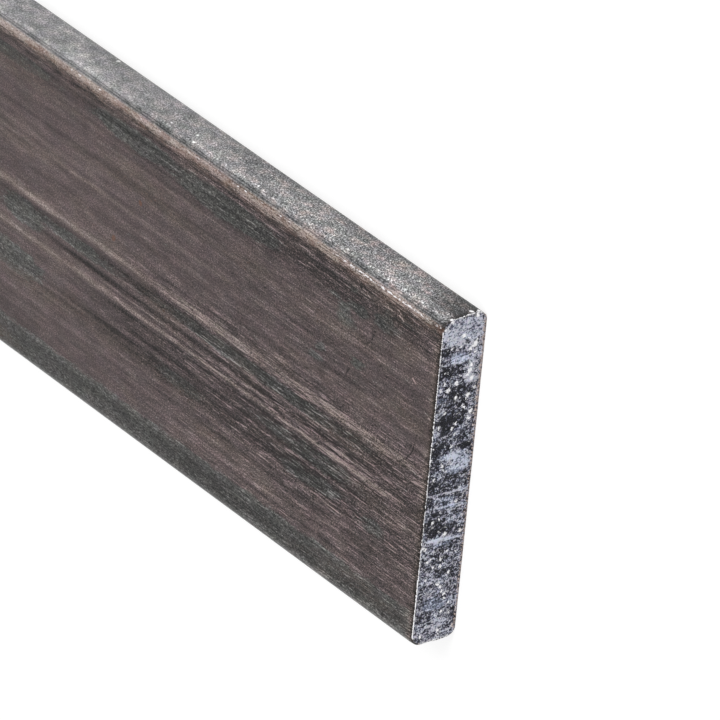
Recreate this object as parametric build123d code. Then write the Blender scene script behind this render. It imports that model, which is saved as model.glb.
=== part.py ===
"""Hot-rolled mild-steel flat bar, 40 x 6 mm, in a 300 mm cut length.

The bar lies on one wide face. The origin is the middle of that underside, +X runs along
the bar, +Y across its width and +Z up through its thickness. Sizes are in millimetres.
"""

import os

from build123d import *

# Stock size, as it is ordered
WIDTH = 40.0  # across the crowns of the two rolled edges
THICKNESS = 6.0
LENGTH = 300.0  # between the two cropped ends

# Rolled section: the last pass leaves each narrow edge slightly crowned, and each corner
# comes out of the rolls with a radius of its own. Back is +Y and front is -Y.
EDGE_CROWN = 0.08  # how far an edge stands out at mid-thickness past its corners
UPPER_BACK_RADIUS = 1.3
UPPER_FRONT_RADIUS = 1.4
LOWER_FRONT_RADIUS = 1.0
LOWER_BACK_RADIUS = 1.3

# Two corners share an edge, so neither may take more than this part of the thickness
LARGEST_CORNER = 0.48

# Cropped ends: the sharp arris of the cut is dressed off all the way round
CUT_EDGE_BREAK = 0.15


def rolled_section():
    """Face across the bar, drawn in the plane of its width (x) and thickness (y)."""
    crown_y = WIDTH / 2
    corner_y = crown_y - EDGE_CROWN
    middle = THICKNESS / 2
    outline = Curve() + [
        Line((-corner_y, 0), (corner_y, 0)),
        ThreePointArc((corner_y, 0), (crown_y, middle), (corner_y, THICKNESS)),
        Line((corner_y, THICKNESS), (-corner_y, THICKNESS)),
        ThreePointArc((-corner_y, THICKNESS), (-crown_y, middle), (-corner_y, 0)),
    ]
    section = make_face(outline)
    corners = [
        ((corner_y, THICKNESS), UPPER_BACK_RADIUS),
        ((-corner_y, THICKNESS), UPPER_FRONT_RADIUS),
        ((-corner_y, 0), LOWER_FRONT_RADIUS),
        ((corner_y, 0), LOWER_BACK_RADIUS),
    ]
    for place, radius in corners:
        arris = section.vertices().sort_by_distance(place)[0]
        section = fillet(arris, min(radius, LARGEST_CORNER * THICKNESS))
    return section


def cropped_bar(section):
    """The section run along X, centred on the origin, with both cut arrises dressed."""
    bar = extrude(Plane.YZ * section, amount=LENGTH / 2, both=True)
    ends = bar.faces().sort_by(Axis.X)
    return chamfer(ends[0].edges() + ends[-1].edges(), CUT_EDGE_BREAK)


flat_bar = cropped_bar(rolled_section())

os.makedirs("parts", exist_ok=True)
export_step(flat_bar, "parts/flat_bar.step")
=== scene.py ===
"""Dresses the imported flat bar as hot-rolled, cropped mild steel and sets a plain studio round it.

The file is laid out as an add-on and run as a script. Blender's own sizes are in metres, as in
the frame. Names that end in _MM or _mm, and the sums that work out the bar's shape and its
patterns, are in millimetres.
"""

import functools
import math

import bmesh
import bpy
from bpy.props import FloatProperty, FloatVectorProperty, PointerProperty
from mathutils import Matrix, Vector, noise


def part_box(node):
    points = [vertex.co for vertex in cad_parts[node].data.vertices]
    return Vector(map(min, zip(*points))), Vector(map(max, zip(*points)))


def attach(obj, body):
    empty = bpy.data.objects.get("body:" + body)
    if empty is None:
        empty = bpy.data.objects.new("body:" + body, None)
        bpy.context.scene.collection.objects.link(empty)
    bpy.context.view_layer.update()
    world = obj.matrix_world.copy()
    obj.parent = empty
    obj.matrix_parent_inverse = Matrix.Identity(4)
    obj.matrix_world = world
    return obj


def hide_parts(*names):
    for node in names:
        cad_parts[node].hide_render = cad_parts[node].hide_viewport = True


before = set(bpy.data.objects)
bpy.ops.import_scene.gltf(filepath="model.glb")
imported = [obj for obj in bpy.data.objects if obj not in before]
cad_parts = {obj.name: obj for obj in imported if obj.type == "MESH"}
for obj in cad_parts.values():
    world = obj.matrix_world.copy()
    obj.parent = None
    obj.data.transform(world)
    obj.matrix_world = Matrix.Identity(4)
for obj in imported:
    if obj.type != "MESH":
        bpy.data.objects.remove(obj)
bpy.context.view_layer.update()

bl_info = {
    "name": "Hot-rolled flat bar",
    "version": (1, 0, 0),
    "blender": (4, 5, 0),
    "location": "3D View > Sidebar > Flat bar",
    "description": "Rolls, crops and finishes a length of mild-steel flat, and lights it",
    "category": "Object",
}

MM = 0.001
BAR_NODE = "flat_bar"
BAR_LOW, BAR_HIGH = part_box(BAR_NODE)
HALF_LENGTH = (BAR_HIGH.x - BAR_LOW.x) / MM / 2
WIDTH = (BAR_HIGH.y - BAR_LOW.y) / MM
THICKNESS = (BAR_HIGH.z - BAR_LOW.z) / MM
HALF_WIDTH = WIDTH / 2
MIDDLE = THICKNESS / 2


# ---- settings ----


def linear(hex_colour):
    """An sRGB hex colour as linear red, green and blue, with an alpha of 1."""
    parts = [int(hex_colour[i : i + 2], 16) / 255 for i in (1, 3, 5)]
    curve = [((c + 0.055) / 1.055) ** 2.4 if c > 0.04045 else c / 12.92 for c in parts]
    return (*curve, 1.0)


def length_setting(name, description, size_mm, most_mm):
    return FloatProperty(
        name=name, description=description, default=size_mm * MM, min=0.0, max=most_mm * MM,
        unit="LENGTH", precision=5,
    )


def colour_setting(name, description, hex_colour):
    return FloatVectorProperty(
        name=name, description=description, default=linear(hex_colour), size=4,
        subtype="COLOR", min=0.0, max=1.0,
    )


class RolledSectionSettings(bpy.types.PropertyGroup):
    """The section's corners and the relief that the rolls and the shear leave."""

    upper_back: length_setting("Upper back radius", "Corner of the upper face at +Y", 1.3, 2.8)
    upper_front: length_setting("Upper front radius", "Corner of the upper face at -Y", 1.4, 2.8)
    lower_front: length_setting("Lower front radius", "Corner of the underside at -Y", 1.0, 2.8)
    lower_back: length_setting("Lower back radius", "Corner of the underside at +Y", 1.3, 2.8)
    crown: length_setting("Edge crown", "Rise of each narrow edge at mid-thickness", 0.08, 1.0)
    arris: length_setting("Arris", "Mean width of the dressed arris of a cropped end", 0.1, 0.4)
    drag_depth: length_setting("Drag depth", "Depth of the drag lines along the bar", 0.015, 0.2)
    tear_depth: length_setting("Tear depth", "Depth of the torn steel of an end", 0.12, 0.4)


class MillSkinSettings(bpy.types.PropertyGroup):
    """Colours of the rolled skin, each where its tone is half way from dark to light."""

    oxide: colour_setting("Oxide", "Taupe skin of the wide faces", "#544949")
    tan: colour_setting("Tan", "Tan skin of the back corners", "#5D524D")
    scale: colour_setting("Scale", "Grey of the thin scale that is left", "#4A4A48")
    # The edge grey is partly the edges' own paler skin and partly painted light: lighter for the
    # lamp on the back edge
    edge: colour_setting("Edge", "Grey of the narrow edges", "#878687")
    edge_rust: colour_setting("Edge rust", "Pinkish-brown mottle of the narrow edges", "#8B817F")
    rust: colour_setting("Rust", "Specks of rust on the wide faces", "#6A4A3A")


class CroppedEndSettings(bpy.types.PropertyGroup):
    """Colours of the cropped ends and their arrises."""

    torn: colour_setting("Torn", "Grey of the torn steel, at middle tone", "#5B5C6C")
    smeared: colour_setting("Smeared", "Blue-grey of the smeared patches", "#63697A")
    burr: colour_setting("Burr", "Bare bright steel of the arris", "#F1F0F2")
    burr_rust: colour_setting("Burr rust", "Brown tarnish on the arris", "#B8A7A0")


class BarStudioSettings(bpy.types.PropertyGroup):
    """The camera's place, the lamps and the surroundings."""

    focal_mm: FloatProperty(
        name="Focal length", description="Lens of the camera, in millimetres", default=477.5,
        min=50.0, max=1000.0, unit="CAMERA",
    )
    distance: FloatProperty(
        name="Distance", description="From the camera to the middle of the cropped end",
        default=1.0025, min=0.2, unit="LENGTH",
    )
    key_power: FloatProperty(
        name="Key lamp", description="Power of the softbox behind the back edge", default=9.0,
        min=0.0, unit="POWER",
    )
    fill_power: FloatProperty(
        name="Fill lamp", description="Power of the softbox beyond the cropped end",
        default=3.0, min=0.0, unit="POWER",
    )
    ambient: FloatProperty(
        name="Ambient", description="Strength of the white surroundings as light",
        default=0.55, min=0.0, max=1.0, subtype="FACTOR",
    )


# ---- marks on the bar ----

# Lines that the rolls drew along the wide faces: place across, half width, distances from the +X
# end between which the line runs, and tone. Light is a rubbed ridge and dark a hollow, but the last
# line is painted light: a faint paleness away from the +X end.
DRAG_LINES_MM = (
    ("hollow beside the corner", 17.8, 0.6, 0, 300, -0.24),
    ("rub", 17.3, 0.4, 6, 300, 0.03),
    ("scale groove", 16.8, 0.35, 1, 300, -0.34),
    ("scale groove", 16.4, 0.4, 2, 300, -0.28),
    ("dull back lane", 15.3, 2.2, 3, 60, -0.14),
    ("scale groove", 15.7, 0.5, 15, 300, -0.16),
    ("scale groove", 15.0, 0.4, 12, 42, -0.12),
    ("scale groove", 14.4, 0.5, 18, 50, -0.1),
    ("rub", 14.5, 0.6, 48, 110, 0.1),
    ("rub", 13.2, 0.4, 9, 60, 0.1),
    ("groove", 11.7, 0.3, 8, 20, -0.14),
    ("rub", 10.6, 0.3, 8, 22, 0.1),
    ("groove", 8.2, 0.4, 12, 38, -0.14),
    ("soft rub", 7.3, 0.6, 22, 300, 0.13),
    ("groove", 5.9, 0.4, 8, 36, -0.08),
    ("groove", 4.7, 0.2, 8, 75, -0.07),
    ("groove", 2.3, 0.3, 15, 60, -0.14),
    ("rubbed line", 1.3, 0.4, 0, 52, 0.3),
    ("rubbed line", 0.7, 0.4, 0, 52, 0.34),
    ("soft rub", 1.0, 1.1, 45, 300, 0.2),
    ("hollow", -0.4, 0.8, 1, 300, -0.27),
    ("hollow", -1.0, 0.7, 1, 60, -0.28),
    ("bright line", -1.7, 0.2, 2, 24, 0.12),
    ("hollow", -2.5, 0.6, 1, 75, -0.34),
    ("bright line", -3.1, 0.25, 8, 62, 0.3),
    ("hollow", -3.6, 0.3, 20, 55, -0.12),
    ("rubbed line", -4.1, 0.4, 5, 55, 0.46),
    ("soft rub", -4.1, 1.0, 42, 300, 0.24),
    ("hollow beside the line", -4.9, 0.6, 4, 64, -0.3),
    ("dull front lane", -6.1, 5.4, 12, 66, -0.15),
    ("hollow", -6.5, 0.5, 3, 60, -0.36),
    ("bright line", -7.1, 0.25, 8, 60, 0.12),
    ("hollow", -8.1, 1.2, 2, 64, -0.27),
    ("hollow", -8.1, 1.2, 52, 100, -0.1),
    ("hollow", -9.0, 0.8, 5, 75, -0.18),
    ("rub", -10.2, 0.4, 10, 60, 0.18),
    ("groove", -11.5, 0.4, 4, 56, -0.14),
    ("bright line", -12.6, 0.2, 8, 40, 0.08),
    ("rub", -13.8, 0.5, 8, 50, 0.1),
    ("groove", -14.6, 0.3, 6, 36, -0.1),
    ("bright line", -15.0, 0.3, 7, 52, 0.14),
    ("front lane", -17.5, 2.0, 0, 300, -0.17),
    # Painted light: the wide faces are a little paler away from the +X end, where the light is
    # brighter
    ("painted light, paler away from the cut", 0.0, 60.0, 50, 300, 0.02),
)

# Where thin grey scale is left on the wide faces: distance from the +X end, place across,
# half length and half width of each patch, and how much of it shows.
SCALE_PATCHES_MM = (
    ("front corner lane", 150, -17.8, 400, 2.6, 1.2),
    ("back lane", 36.8, 15.6, 11, 1.8, 1.0),
    ("back lane", 52.7, 16.2, 9, 1.5, 1.0),
    ("back lane", 79.4, 16.2, 14, 1.1, 0.9),
    ("back lane", 180, 16.1, 70, 1.3, 0.9),
    ("islet", 15.7, 12.9, 1.5, 1.5, 1.05),
    ("islet", 15.8, 13.9, 1.2, 0.7, 1.0),
    ("dark islet", 13.3, 14.7, 1.7, 0.8, 1.15),
    ("dark islet", 8.9, 15.2, 2.1, 1.2, 1.15),
    ("dark islet", 8.8, 16.6, 0.9, 0.7, 1.05),
    ("dark islet", 6.1, 16.8, 0.8, 0.7, 1.05),
    ("dark islet", 18.0, 14.7, 0.9, 0.6, 0.8),
    ("dark islet", 14.3, 16.5, 0.9, 0.6, 0.7),
    ("islet", 13.2, 8.4, 0.8, 0.7, 1.15),
    ("islet", 18.5, 7.5, 0.9, 0.8, 1.05),
    ("islet", 19.8, 6.0, 1.0, 0.8, 1.15),
    ("middle lane", 29.9, -0.8, 24, 1.0, 0.75),
    ("middle lane", 61.6, -0.9, 10, 1.0, 0.7),
    ("middle lane", 71.0, -1.5, 4.5, 1.9, 0.9),
    ("middle lane", 170, -1.1, 75, 1.1, 0.7),
    ("front lane", 19.9, -5.9, 13, 1.3, 0.6),
    ("front lane", 72.5, -7.9, 7, 2.0, 0.95),
    ("front lane", 41.8, -8.6, 5, 1.1, 0.8),
    ("front lane", 20.9, -8.9, 4, 1.2, 0.75),
    ("front lane", 16.0, -8.5, 2.5, 1.2, 0.75),
    ("front lane", 8.0, -9.2, 2.5, 1.4, 0.7),
    ("front lane", 200, -7.4, 60, 1.6, 0.7),
)

# Lines along the back corners: how far round the section, half width, how ragged, and tone. The tan
# lines are a painted highlight where the rounded corner catches the light, laid on tan skin, and
# the dark lines are painted shade where the corner turns from the light.
CORNER_HIGHLIGHT_AND_SHADE_MM = (
    ("hollow", 12.28, 0.22, 0.6, -0.09),
    ("tan edge", 12.65, 0.36, 1.0, 0.24),
    ("tan ridge", 13.12, 0.6, 0.4, 0.42),
    ("tan fringe", 13.4, 0.25, 0.4, 0.08),
    ("dark line", 13.8, 0.2, 0.2, -0.3),
    ("dull strip", 14.15, 0.45, 0.2, -0.13),
    ("dark line", 14.16, 0.12, 0.2, -0.2),
)

# Scratches and dents on the upper face: both ends (place along and across), half width, tone
SCRATCHES_MM = (
    ("curved dig", (147.7, 5.3), (147.2, 3.0), 0.13, -0.3),
    ("curved dig", (147.2, 3.0), (146.3, 1.6), 0.15, -0.35),
    ("curved dig", (146.3, 1.6), (145.2, 0.8), 0.15, -0.3),
    ("dent at its foot", (146.5, 0.9), (145.8, 0.3), 0.35, -0.25),
    ("forked mark", (137.0, 11.9), (142.2, 12.3), 0.6, -0.1),
    ("forked mark", (139.2, 13.8), (139.0, 12.0), 0.22, -0.16),
    ("forked mark", (131.6, 5.8), (140.5, 6.1), 0.6, -0.1),
    ("forked mark", (135.6, 7.4), (135.4, 6.0), 0.22, -0.14),
    ("forked mark", (129.7, -11.5), (133.8, -11.3), 0.6, -0.12),
    ("forked mark", (132.1, -9.9), (131.9, -11.8), 0.22, -0.18),
    ("forked mark", (137.3, -12.4), (143.0, -12.2), 0.6, -0.12),
    ("forked mark", (142.2, -10.8), (142.0, -12.5), 0.22, -0.16),
    ("rubbed wedge", (121.3, -16.4), (125.1, -14.4), 0.3, 0.12),
    ("scratch", (134.6, -9.0), (136.3, -8.0), 0.1, 0.3),
    ("forked mark", (139.5, 13.5), (139.0, 12.2), 0.15, -0.3),
    ("forked mark", (139.0, 12.2), (138.4, 11.7), 0.15, -0.3),
    ("forked mark", (138.6, 11.4), (138.8, 11.9), 0.15, 0.25),
    ("forked mark", (135.8, 7.3), (135.4, 6.4), 0.15, -0.3),
    ("long scratch", (134.3, 11.0), (141.4, 11.2), 0.12, 0.22),
    ("long scratch", (134.0, 11.3), (141.4, 11.5), 0.12, -0.2),
    ("scratch", (142.4, 14.8), (143.9, 14.8), 0.13, 0.34),
    ("scratch", (133.8, 14.8), (135.8, 15.1), 0.12, 0.2),
    ("bright nick", (142.2, 17.9), (143.4, 17.5), 0.15, 0.6),
    ("bright nick", (143.1, 17.2), (143.7, 17.0), 0.2, 0.85),
    ("bright nick", (136.0, 17.9), (136.4, 17.6), 0.14, 0.4),
    ("bright nick", (136.8, 17.7), (138.1, 16.9), 0.13, 0.36),
    ("dark pit", (136.6, 17.5), (136.7, 17.4), 0.22, -0.6),
    ("bright nick", (146.0, 11.3), (146.6, 11.0), 0.16, 0.6),
    ("bright nick", (148.4, 8.5), (149.7, 7.8), 0.12, 0.5),
    ("bright nick", (120.3, 18.3), (121.0, 17.9), 0.14, 0.35),
    ("dark scale", (135.6, 14.8), (137.8, 14.6), 0.8, -0.1),
    ("dark scale", (139.6, 15.3), (142.4, 15.1), 1.1, -0.12),
    ("dark scale", (143.6, 16.8), (144.2, 16.8), 0.7, -0.1),
    ("bright nick", (116.8, 18.15), (118.2, 17.95), 0.13, 0.3),
    ("bright nick", (118.7, 18.2), (119.9, 18.1), 0.13, 0.3),
    ("bright nick", (121.8, 18.35), (123.0, 18.15), 0.13, 0.25),
)

# Specks of rust on the upper face: place along and across, and radius
RUST_SPECKS_MM = ((98.9, 9.2, 0.4), (94.9, 2.9, 0.4))

# Pale specks on the back edge: place along and up, and radius
EDGE_SPECKS_MM = (
    (87.5, 1.3, 0.35), (101.5, 4.6, 0.22), (105.1, 4.0, 0.3), (106.0, 5.1, 0.25),
    (117.2, 4.9, 0.2), (129.6, 4.5, 0.2),
)

# What the blade left on a cropped end: place across and up, half sizes, how far the patch
# leans across for each mm up, tone, and how smoothly it is smeared.
END_PATCHES_MM = (
    ("smeared back corner", 18.2, 2.9, 1.9, 3.6, 0.0, 0.41, 0.6),
    ("pale fringe", 18.9, 5.5, 1.2, 0.5, 0.0, 0.2, 0.0),
    ("grey hollow", 19.0, 3.5, 0.5, 0.6, 0.0, -0.12, 0.0),
    ("blue smear", 14.85, 3.2, 0.95, 1.7, 0.1, 0.3, 1.0),
    ("blue smear", 15.2, 5.0, 0.5, 0.8, 0.0, 0.08, 0.6),
    ("pale crumbs", 12.95, 1.6, 0.6, 1.0, 0.1, 0.52, 0.1),
    ("pale crumbs", 11.9, 1.25, 0.55, 1.0, 0.4, 0.52, 0.1),
    ("pale ground", 12.85, 1.1, 2.2, 1.3, 0.2, 0.2, 0.2),
    ("pale crumbs", 15.9, 1.5, 0.85, 1.0, 0.0, 0.44, 0.0),
    ("grey smear", 10.15, 5.2, 0.45, 1.1, 0.0, 0.22, 0.8),
    ("thin smear", 6.05, 3.1, 0.28, 3.0, 0.04, 0.22, 0.7),
    ("wide smear", 2.95, 3.5, 0.5, 1.6, 0.1, 0.36, 0.85),
    ("wide smear", 2.0, 1.6, 1.7, 1.7, 0.25, 0.29, 0.8),
    ("wide smear", 1.1, 2.5, 0.7, 1.6, 0.2, 0.13, 1.0),
    ("pale crumbs", 4.1, 2.9, 0.6, 0.5, 0.0, 0.22, 0.3),
    ("blue crumbs", 5.3, 2.6, 0.5, 0.8, 0.0, 0.16, 0.7),
    ("blue smear", -2.55, 2.9, 0.9, 1.6, 0.05, 0.08, 0.8),
    ("thin smear", -3.35, 2.9, 0.35, 2.4, 0.08, 0.24, 0.9),
    ("blue smear", -5.25, 2.2, 0.35, 0.8, 0.1, 0.22, 0.9),
    ("long smear", -7.1, 4.1, 0.36, 1.8, 0.1, 0.46, 0.8),
    ("long smear", -7.45, 1.8, 0.4, 2.0, 0.06, 0.44, 0.8),
    ("long smear", -7.95, 3.1, 0.4, 1.8, 0.05, 0.2, 0.9),
    ("blue smear", -15.25, 3.3, 1.1, 2.0, 0.2, 0.15, 1.0),
    ("pale crumbs", -13.45, 2.6, 1.0, 1.1, 0.0, 0.16, 0.2),
    ("pale crumbs", -12.05, 4.6, 0.9, 0.8, 0.0, 0.1, 0.1),
    ("grey front corner", -18.9, 3.0, 1.6, 4.6, 0.0, 0.18, 0.4),
    ("finer ground", -14.5, 3.0, 5.0, 4.5, 0.0, 0.0, 0.3),
    ("grey rim of the corner", -19.15, 3.5, 0.6, 2.0, 0.0, 0.2, 0.3),
    ("dark tear", 16.1, 5.1, 0.5, 1.3, 0.0, -0.5, 0.0),
    ("dark tear", 13.45, 4.2, 0.9, 2.2, 0.0, -0.56, 0.0),
    ("dark tear", 14.8, 5.7, 0.6, 0.4, 0.0, -0.25, 0.0),
    ("dark tear", 10.75, 3.0, 0.8, 2.2, 0.1, -0.7, 0.0),
    ("dark tear", 9.65, 2.8, 0.9, 1.6, 0.0, -0.28, 0.0),
    ("dark tear", 9.45, 4.8, 0.5, 0.6, 0.0, -0.32, 0.2),
    ("dark tear", 7.5, 3.5, 1.6, 2.0, 0.0, -0.68, 0.0),
    ("dark tear", 7.0, 2.3, 0.9, 0.9, 0.0, -0.34, 0.0),
    ("dark tear", 5.0, 3.5, 0.5, 2.0, 0.0, -0.4, 0.0),
    ("dark tear", 4.0, 4.7, 0.8, 1.6, 0.0, -0.72, 0.0),
    ("dark tear", 3.8, 1.4, 0.5, 1.0, 0.0, -0.52, 0.0),
    ("dark tear", 5.0, 1.1, 0.7, 0.8, 0.0, -0.3, 0.0),
    ("dark tear", 1.15, 5.2, 2.6, 0.9, 0.0, -0.34, 0.0),
    ("dark tear", -0.75, 4.6, 1.1, 1.6, 0.0, -0.34, 0.0),
    ("dark tear", 0.2, 2.6, 0.35, 1.4, 0.0, -0.45, 0.0),
    ("dark tear", -0.75, 2.7, 0.5, 0.8, 0.0, -0.2, 0.0),
    ("dark tear", -2.25, 5.3, 0.5, 0.8, 0.0, -0.3, 0.0),
    ("dark tear", -2.05, 1.6, 0.3, 0.5, 0.0, -0.4, 0.0),
    ("dark tear", -5.2, 4.5, 1.8, 1.7, 0.0, -0.52, 0.0),
    ("dark tear", -6.3, 3.7, 0.6, 1.5, 0.0, -0.4, 0.0),
    ("dark tear", -4.3, 1.3, 0.6, 1.0, 0.0, -0.22, 0.0),
    ("dark tear", -8.1, 4.1, 0.3, 1.0, 0.0, -0.3, 0.0),
    ("dark tear", -9.4, 3.5, 1.6, 2.4, 0.1, -0.12, 0.0),
    ("dull ground", -6.0, 3.0, 4.8, 4.0, 0.0, -0.06, 0.0),
    ("dark tear", -11.45, 3.0, 0.7, 1.3, 0.2, -0.28, 0.0),
    ("dark tear", -16.3, 3.3, 0.4, 0.6, 0.0, -0.2, 0.0),
)

# Thin lines on a cropped end: both ends (place across and up), half width and tone
END_LINES_MM = (
    ("bright line", (-1.35, 6.0), (-1.8, 0.6), 0.14, 0.78),
    ("dark line beside it", (-1.8, 4.4), (-1.95, 2.7), 0.14, -0.45),
    ("drawn line", (4.35, 2.7), (4.25, 0.6), 0.1, 0.24),
    ("drawn line", (-3.15, 4.6), (-3.45, 0.7), 0.12, 0.22),
    ("drawn line", (-6.9, 5.1), (-7.6, 0.5), 0.15, 0.24),
    ("drawn line", (-17.0, 2.1), (-17.3, 1.0), 0.07, 0.4),
    ("scrape", (7.0, 5.4), (6.5, 5.0), 0.1, 0.36),
    ("crack in the rim", (19.2, 1.8), (20.15, 1.8), 0.12, -0.6),
    ("hollow in the rim", (19.75, 2.3), (19.85, 3.2), 0.28, -0.4),
)

# Bright near-white flecks on a cropped end, partly chips of bare steel and partly painted glints:
# place across and up, and radius
END_CHIPS_AND_GLINTS_MM = (
    (17.4, 2.9, 0.31), (16.2, 3.1, 0.19), (16.3, 4.35, 0.17), (16.05, 1.2, 0.39),
    (15.6, 1.85, 0.26), (15.0, 1.1, 0.15), (12.95, 1.65, 0.36), (11.95, 1.3, 0.34),
    (11.75, 3.25, 0.26), (11.25, 4.3, 0.38), (9.95, 3.15, 0.26), (9.95, 1.5, 0.31),
    (9.45, 1.8, 0.15), (8.45, 4.5, 0.22), (7.8, 0.9, 0.31), (6.95, 1.1, 0.29),
    (6.75, 2.85, 0.22), (6.35, 3.25, 0.21), (5.5, 2.9, 0.15), (4.1, 3.1, 0.17),
    (1.95, 4.1, 0.23), (0.5, 5.05, 0.21), (-6.75, 2.75, 0.28), (-6.95, 0.65, 0.23),
    (-7.7, 5.7, 0.28), (-9.65, 4.8, 0.23), (-9.8, 2.95, 0.23), (-10.65, 3.0, 0.23),
    (-9.4, 0.95, 0.16), (-11.75, 1.7, 0.22), (-12.85, 3.0, 0.24), (-14.35, 2.0, 0.21),
    (-14.9, 1.95, 0.22), (-15.65, 1.3, 0.21), (-16.5, 2.2, 0.2), (-18.9, 4.85, 0.23),
    (19.5, 1.2, 0.3), (19.6, 4.7, 0.3), (18.9, 5.6, 0.24), (8.8, 2.2, 0.17),
    (8.5, 1.9, 0.19), (10.6, 0.8, 0.19), (13.6, 1.5, 0.26), (12.5, 1.95, 0.26),
    (11.5, 5.3, 0.17), (12.1, 4.9, 0.19), (9.3, 0.4, 0.19), (7.4, 0.5, 0.17),
    (5.9, 0.4, 0.17), (16.5, 1.0, 0.21), (15.9, 1.5, 0.21), (17.0, 2.2, 0.15),
    (14.6, 5.9, 0.21), (13.3, 5.9, 0.17), (1.4, 3.9, 0.15), (1.2, 3.5, 0.15),
    (3.0, 5.7, 0.17), (4.4, 5.5, 0.15), (6.9, 5.1, 0.19), (-3.05, 1.65, 0.21),
    (-4.85, 4.6, 0.19), (-5.5, 4.6, 0.15), (-4.7, 3.7, 0.19), (-10.55, 3.95, 0.19),
    (-9.5, 4.3, 0.19), (-8.0, 5.3, 0.24), (-9.0, 2.2, 0.15), (-16.9, 1.1, 0.15),
    (-18.75, 2.45, 0.2), (-18.75, 0.45, 0.24), (-13.3, 2.7, 0.21), (-13.9, 2.4, 0.19),
    (-11.9, 4.8, 0.21),
)

# Burr that the blade folded onto the back edge: distance from the +X end, place up, radius
FOLDED_BURR_MM = ((0.4, 2.0, 0.32), (0.15, 1.1, 0.34), (0.1, 4.8, 0.26), (0.15, 5.3, 0.2))


def smooth(share):
    """0 to 1 with flat ends, as the share goes from 0 to 1."""
    share = min(max(share, 0.0), 1.0)
    return share * share * (3 - 2 * share)


def swell(value, middle, half_width):
    """1 at the middle, falling smoothly to 0 at a half width either side."""
    return 1 - smooth(abs(value - middle) / half_width)


def between(low, high, share):
    return low + (high - low) * share


def lumps(x, y, z, sizes_mm, seed):
    """Smooth noise from -1 to 1 whose lumps have these sizes along, across and up the bar."""
    along, across, up = sizes_mm
    return noise.noise(Vector((x / along + 31.7 * seed, y / across, z / up)))


DRAG_FADES_MM = (5, 14)  # over which a drag line fades in near the +X end, and out again
SCALE_CORE, SCALE_FADE = 0.45, 0.8  # shares of a patch's size: all scale, and fading out
SMEAR_CORE, SMEAR_FADE = 0.55, 0.6


def drag_tone(x, y):
    """Tone of the drag lines at a place on a wide face: light ridges, dark hollows, and a painted
    paleness of light away from the +X end.
    """
    from_end = HALF_LENGTH - x
    y += 0.06 * lumps(x, y, 0, (35, 3, 1), 1)
    ragged = from_end + 4 * lumps(x, y, 0, (9, 0.5, 1), 2)
    fade_in, fade_out = DRAG_FADES_MM
    tone = 0.0
    for _, place, half_width, near, far, strength in DRAG_LINES_MM:
        if abs(y - place) < half_width:
            ends = smooth((ragged - near) / fade_in) * smooth((far - ragged) / fade_out)
            uneven = 0.85 + 0.6 * lumps(x, place, 0, (11, 1, 1), 3)
            tone += strength * uneven * ends * swell(y, place, half_width)
    return tone


def scale_left(x, y):
    """How much thin grey scale is left at a place on a wide face, from 0 to 1 or so."""
    from_end = HALF_LENGTH - x
    left = 0.12
    for _, distance, place, half_length, half_width, strength in SCALE_PATCHES_MM:
        away = math.hypot((from_end - distance) / half_length, (y - place) / half_width)
        left = max(left, strength * (1 - smooth((away - SCALE_CORE) / SCALE_FADE)))
    return left


def end_patches(y, z):
    """Tone and smear of the patches at a place on a cropped end."""
    tone = smear = 0.0
    blur = 0.25 * lumps(0, y, z, (1, 0.5, 0.9), 4)
    for _, across, up, half_y, half_z, lean, strength, smoothness in END_PATCHES_MM:
        away = math.hypot((y - across - lean * (z - up)) / half_y, (z - up) / half_z)
        share = 1 - smooth((away + blur - SMEAR_CORE) / SMEAR_FADE)
        tone += share * strength
        smear = max(smear, share * smoothness)
    return tone, smear


# ---- the bar's mesh ----

CORNER_STEPS = 8  # grid lines in each corner; a corner's arc has twice as many segments
CORNERS_MM = 3.0  # length of a side that its two corners take from the even grid
GRID_MM = 0.16  # spacing of the grid across the wide faces and the cropped ends
ARRIS_RINGS_MM = (0.0, 0.05, 0.15)  # distances from a cropped end of its first rings
RING_GROWTH = 1.25
WIDEST_RING_MM = 4.0
MARKED_REACH_MM = 92.0  # the drag lines change most over this reach from the +X end
MARKED_RING_MM = 1.5
UPPER_BACK, UPPER_FRONT, LOWER_FRONT, LOWER_BACK = (1, 1), (-1, 1), (-1, -1), (1, -1)


def ring_marks(marked_reach_mm):
    """Distances of the rings from a cropped end to mid-length, in mm."""
    marks = list(ARRIS_RINGS_MM)
    step = marks[-1] - marks[-2]
    while marks[-1] + step < HALF_LENGTH:
        marks.append(marks[-1] + step)
        widest = MARKED_RING_MM if marks[-1] < marked_reach_mm else WIDEST_RING_MM
        step = min(step * RING_GROWTH, widest)
    return marks[:-1] + [HALF_LENGTH]


def side_of_line(index, count):
    """Which corner zone a grid line is in: its side, and its share of the radius.

    The share is 1 at the outside and 0 at the corner's centre, spaced for an even arc.
    """
    steps_in = min(index, count - index)
    if steps_in > CORNER_STEPS:
        return 0, 0.0
    side = -1 if index < count / 2 else 1
    return side, math.tan(math.radians(45) * (1 - steps_in / CORNER_STEPS))


def place_of_line(side, share, over, size, low_radius, high_radius):
    """Place of a grid line on a span of this size that starts at 0."""
    if side < 0:
        return low_radius * (1 - share)
    if side > 0:
        return size - high_radius * (1 - share)
    return between(low_radius, size - high_radius, over)


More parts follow.
